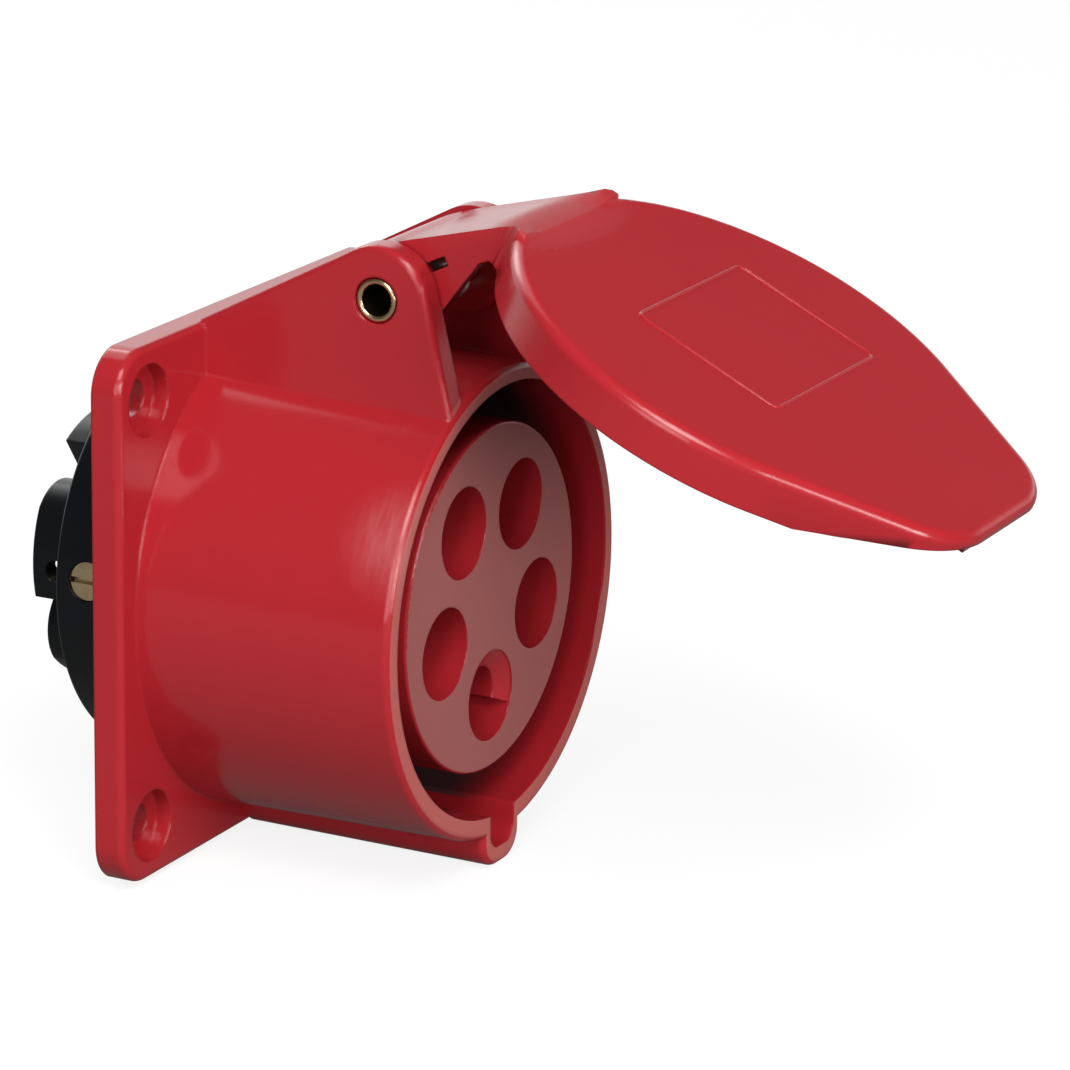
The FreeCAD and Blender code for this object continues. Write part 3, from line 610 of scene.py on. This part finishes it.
def on_lid(along, out, x):
    """Place on the open lid: along it, out from the pin, and sideways."""
    return pin + lid_along * along + lid_out * out + Vector((x, 0, 0))


label_place = Matrix.Translation(on_lid(label_along, lid_face_height - wire_sunk, label_x))
label_turn = Matrix((Vector((1, 0, 0)), lid_along, lid_out)).transposed().to_4x4()
label_mesh.transform(label_place @ label_turn)
label_mesh.flip_normals()  # the matrix mirrors the frame, so its faces are turned back outward
label_mesh.shade_smooth()
piece_of("label_frame", label_mesh, "cover")

# %% [markdown]
# ## Ledge in the earth well
# The earth well at the bottom has a ledge on its right: from the mouth the wall slopes in like
# a piece of a funnel and then goes straight down. It is a piece of a ring. Its section, four
# points of radius and depth, is turned through part of a circle round the well's own axis, and
# its two ends are closed.

# %% Earth ledge
earth_well_z = -0.0140
ledge_section = [(0.0038, -0.0388), (0.00645, -0.0403), (0.00645, -0.0318), (0.0038, -0.0318)]
ledge_start, ledge_end, ledge_steps = -25, 105, 26

ledge = bmesh.new()
rows = []
for i in range(ledge_steps + 1):
    angle = math.radians(ledge_start + (ledge_end - ledge_start) * i / ledge_steps)
    rows.append([ledge.verts.new((r * math.cos(angle), y, earth_well_z + r * math.sin(angle)))
                 for r, y in ledge_section])
join_rows(ledge, rows)
ledge.faces.new(rows[0])
ledge.faces.new(reversed(rows[-1]))
ledge_mesh = smooth_mesh("earth_ledge", ledge, 40)
ledge_mesh.materials.append(face_red)
piece_of("earth_ledge", ledge_mesh, "socket")

# %% [markdown]
# ## Collars on the terminals
# Behind, each brass terminal ends in a small round collar that guides the wire in. There are
# five, evenly spaced on a circle, so Geometry Nodes makes one ring and sets it on the five
# corners of a mesh circle. The ring is a wire bent to a circle and stretched along its axis.

# %% Terminal collars
collars_turn, collars_y = math.radians(-175), 0.01775

tree = new_tree("terminal collars", ("Pitch", "Ring", "Wall", "Stretch"), counts=("Count",))
given = add(tree, "NodeGroupInput").outputs
corners = add(tree, "GeometryNodeMeshCircle",
              {"Vertices": given["Count"], "Radius": given["Pitch"]})
loop = add(tree, "GeometryNodeCurvePrimitiveCircle", {"Resolution": 40, "Radius": given["Ring"]})
wire = add(tree, "GeometryNodeCurvePrimitiveCircle", {"Resolution": 16, "Radius": given["Wall"]})
ring = add(tree, "GeometryNodeCurveToMesh",
           {"Curve": loop.outputs[0], "Profile Curve": wire.outputs[0]})
stretch = add(tree, "ShaderNodeCombineXYZ", {0: 1.0, 1: 1.0, 2: given["Stretch"]})
tall = add(tree, "GeometryNodeTransform",
           {"Geometry": ring.outputs[0], "Scale": stretch.outputs[0]})
set_out = add(tree, "GeometryNodeInstanceOnPoints",
              {"Points": corners.outputs[0], "Instance": tall.outputs[0]})
end_tree(tree, set_out.outputs[0], brass)
collar_mesh = grown("terminal_collars", tree, Count=5, Pitch=0.0134, Ring=0.00262, Wall=0.00042,
                    Stretch=4.0)
collar_mesh.transform(Matrix.Rotation(collars_turn, 4, "Y")
                      @ Matrix.Translation((0, collars_y, 0))
                      @ Matrix.Rotation(math.radians(90), 4, "X"))
collar_mesh.shade_smooth()
piece_of("terminal_collars", collar_mesh, "socket")

# %% [markdown]
# ## The lid with its crowned arm
# The arm's top is not flat: it runs up to the lid's face in one soft crest, and the white wall
# slides over it as a pale sheen that fades to red. The solid has a plain ramp with a small
# step. So the lid's mesh is copied and merged, its arm is cut into a fine grid, and each point
# that stands above the crowned surface is lowered onto it. The slot for the spring's end is
# filled and cut again at the slant that the picture shows.

# %% The crowned surface
arm_foot, arm_slope, crest_soften = 0.0084, 0.8536, 0.0034
bulge_height, bulge_middle, bulge_reach = 0.0004, 0.0038, 0.0166
crown_flat_x, crown_end_x, clear_above = 0.0100, 0.0165, 0.01


def lid_axes(point):
    """Distance along the open lid and distance out from the pin, for a point."""
    arm = Vector((0, point.y - pin.y, point.z - pin.z))
    return arm.dot(lid_along), arm.dot(lid_out)


def eased(value, low, high):
    """A soft step from 0 at low to 1 at high."""
    s = min(max((value - low) / (high - low), 0), 1)
    return s * s * (3 - 2 * s)


def crown(u, x):
    """Height of the crowned arm above the pin, in metres."""
    bulge = math.cos(math.pi * min(abs(u - bulge_middle) / bulge_reach, 0.5))
    ramp_height = arm_foot + arm_slope * u + bulge_height * bulge
    # a smooth minimum of the ramp and the lid's face
    share = min(max(0.5 + 0.5 * (lid_face_height - ramp_height) / crest_soften, 0), 1)
    crest = (lid_face_height * (1 - share) + ramp_height * share
             - crest_soften * share * (1 - share))
    # beside the arm the surface rises out of the way
    middle = 1 - eased(abs(x), crown_flat_x, crown_end_x)
    return crest * middle + (lid_face_height + clear_above) * (1 - middle)


# %% Copy the lid and close its old slot
merge_gap, cut_gap = 2e-6, 1e-6
cheek_x, cheek_low_x, cheek_high_x = -0.0103, -0.0114, -0.0092
old_slot_along, old_slot_out, old_slot_reach = 0.0038, 0.0071, 0.0024

shell = bmesh.new()
shell.from_mesh(nodes["lid"].data)
bmesh.ops.remove_doubles(shell, verts=shell.verts, dist=merge_gap)
old_slot = on_lid(old_slot_along, old_slot_out, cheek_x)
walls = []
for face in shell.faces:
    middle = face.calc_center_median()
    if ((middle - old_slot).length < old_slot_reach and abs(face.normal.x) < 0.3
            and cheek_low_x < middle.x < cheek_high_x):
        walls.append(face)
bmesh.ops.delete(shell, geom=walls, context="FACES")
open_edges = [e for e in shell.edges if e.is_boundary]
filled = bmesh.ops.holes_fill(shell, edges=open_edges, sides=12)
print("slot walls", len(walls), "open edges", len(open_edges), "filled", len(filled["faces"]))
bmesh.ops.dissolve_limit(shell, angle_limit=math.radians(0.4), verts=shell.verts,
                         edges=shell.edges)

# %% Cut the arm into a grid and lower it onto the crown
arm_end_u, arm_low, arm_half_x = 0.022, 0.002, 0.019
crown_start_u, crown_end_u = -0.004, 0.0196
step_along, steps_along = 0.001, range(-4, 21)
step_across, steps_across = 0.0022, range(-8, 9)


def slice_arm(place, normal):
    """Cuts the arm's faces by a plane."""
    near = []
    for face in shell.faces:
        middle = face.calc_center_median()
        u, off = lid_axes(middle)
        if u < arm_end_u and off > arm_low and abs(middle.x) < arm_half_x:
            near.append(face)
    edges = dict.fromkeys(e for f in near for e in f.edges)
    verts = dict.fromkeys(v for f in near for v in f.verts)
    bmesh.ops.bisect_plane(shell, geom=near + list(edges) + list(verts), dist=cut_gap,
                           plane_co=place, plane_no=normal)


for i in steps_along:
    slice_arm(on_lid(step_along * i, 0, 0), lid_along)
for i in steps_across:
    slice_arm((step_across * i, 0, 0), (1, 0, 0))
lowered = 0
for vert in shell.verts:
    u, off = lid_axes(vert.co)
    if crown_start_u < u < crown_end_u and off > crown(u, vert.co.x):
        vert.co += lid_out * (crown(u, vert.co.x) - off)
        lowered += 1
print("arm points lowered:", lowered)
bmesh.ops.dissolve_degenerate(shell, dist=cut_gap, edges=shell.edges)
bmesh.ops.triangulate(shell, faces=[f for f in shell.faces if len(f.verts) > 4])
lid_mesh = mesh_of("lid_moulding", shell)

# %% Cut the slanted slot
new_slot_along, new_slot_out = 0.00395, 0.00735
slot_deep, slot_length, slot_width = 0.003, 0.0033, 0.0014
slant_along, slant_out = 0.62, 0.785

new_slot = on_lid(new_slot_along, new_slot_out, cheek_x)
slot_long = lid_along * slant_along + lid_out * slant_out
slot_wide = slot_long.cross(Vector((1, 0, 0)))
cutter = bmesh.new()
bmesh.ops.create_cube(cutter, size=1)
for vert in cutter.verts:
    vert.co = (new_slot + Vector((vert.co.x * slot_deep, 0, 0))
               + slot_long * vert.co.y * slot_length + slot_wide * vert.co.z * slot_width)
bmesh.ops.recalc_face_normals(cutter, faces=cutter.faces)
cutter_holder = placed("slot cutter", mesh_of("slot cutter", cutter))
lid_holder = placed("lid work", lid_mesh)
cut = lid_holder.modifiers.new("slot", "BOOLEAN")
cut.operation = "DIFFERENCE"
cut.solver = "EXACT"
cut.object = cutter_holder
ready = bpy.context.evaluated_depsgraph_get()
lid_cut = bpy.data.meshes.new_from_object(lid_holder.evaluated_get(ready), depsgraph=ready)
print("lid before and after the slot:", len(lid_mesh.polygons), len(lid_cut.polygons), "faces")
for holder in (cutter_holder, lid_holder):
    bpy.data.objects.remove(holder)

# %% Finish the lid
lid_cut.name = "lid_moulding"
lid_cut.materials.clear()
lid_cut.materials.append(lid_red)
for face in lid_cut.polygons:
    face.material_index = 0
lid_cut.shade_smooth()
lid_cut.set_sharp_from_angle(angle=math.radians(35))
lid_piece = piece_of("lid_moulding", lid_cut, "cover")
even = lid_piece.modifiers.new("even shading", "WEIGHTED_NORMAL")
even.keep_sharp = True
even.weight = 90
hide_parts("lid")

# %% [markdown]
# ## Last step
# The size of the solids is printed.

# %% Print the size of the solids
print("solids", [tuple(round(v * 1000, 1) for v in p) for p in box_of_solids])
